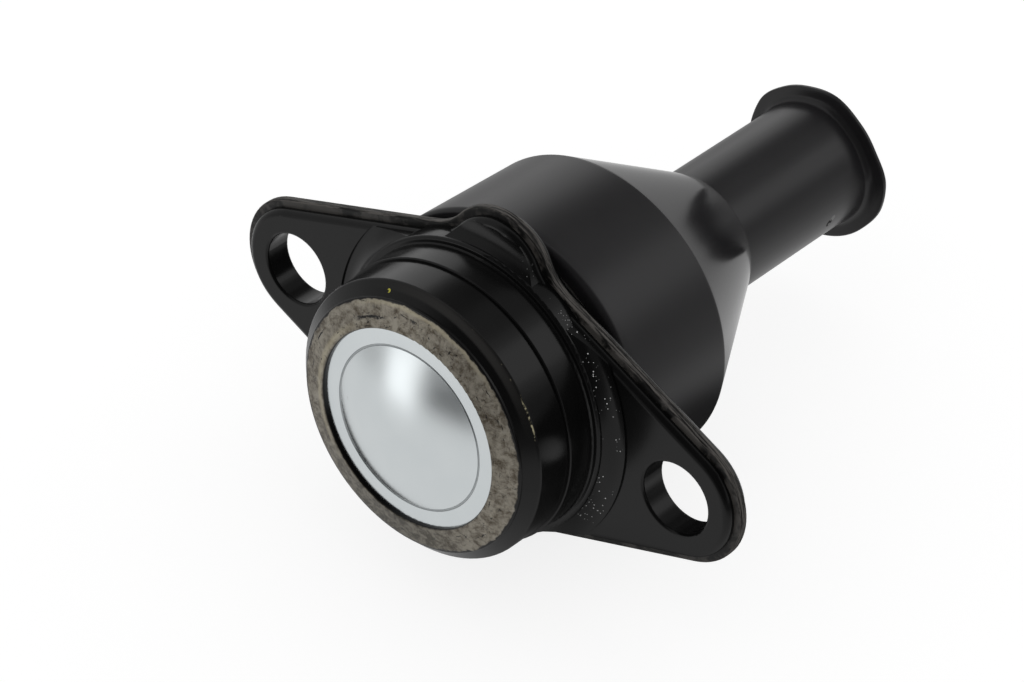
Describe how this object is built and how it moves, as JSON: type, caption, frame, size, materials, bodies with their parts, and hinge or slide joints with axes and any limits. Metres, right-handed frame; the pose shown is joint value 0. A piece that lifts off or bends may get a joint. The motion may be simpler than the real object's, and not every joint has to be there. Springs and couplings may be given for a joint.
{
  "type": "ball joint",
  "caption": "Flanged suspension ball joint: forged socket housing with bolt ears, swivelling taper stud, rubber dust boot and transport sleeve.",
  "frame": {"origin": "crown of the cover's dome, on the stud's axis, the lowest point of the joint", "axes": "+Z along the stud away from the cover, +X through the centres of the two bolt holes, +Y across the flange"},
  "size_m": [0.1064, 0.0664, 0.1125],
  "materials": {
    "housing_black": "semi-gloss black coat over forged steel, worn bare on the rolled rim",
    "cover_zinc": "bright zinc plate",
    "shell_polymer": "natural acetal",
    "ring_steel": "oiled spring steel",
    "boot_rubber": "satin moulded rubber",
    "stud_steel": "ground ball and taper, grey phosphate elsewhere",
    "sleeve_plastic": "satin black polyethylene"
  },
  "bodies": {
    "housing": {"socket_housing": "housing_black", "cover_plate": "cover_zinc", "bearing_shell": "shell_polymer", "boot_base_ring": "ring_steel"},
    "boot": {"dust_boot": "boot_rubber"},
    "neck": {"boot_neck_ring": "ring_steel"},
    "stud": {"ball_stud": "stud_steel"},
    "sleeve": {"transport_sleeve": "sleeve_plastic"}
  },
  "joints": [
    {"name": "swing_x", "type": "hinge", "parent": "housing", "child": "boot", "pos_m": [0, 0, 0.02255], "axis": [1, 0, 0], "range_deg": [-20, 20], "deforming": ["dust_boot"]},
    {"name": "swing_y", "type": "hinge", "parent": "boot", "child": "neck", "pos_m": [0, 0, 0.02255], "axis": [0, 1, 0], "range_deg": [-20, 20], "deforming": ["dust_boot"]},
    {"name": "spin", "type": "hinge", "parent": "neck", "child": "stud", "pos_m": [0, 0, 0.02255], "axis": [0, 0, 1], "continuous": true},
    {"name": "sleeve_pull", "type": "slide", "parent": "stud", "child": "sleeve", "axis": [0, 0, 1], "range_m": [0, 0.045]}
  ]
}
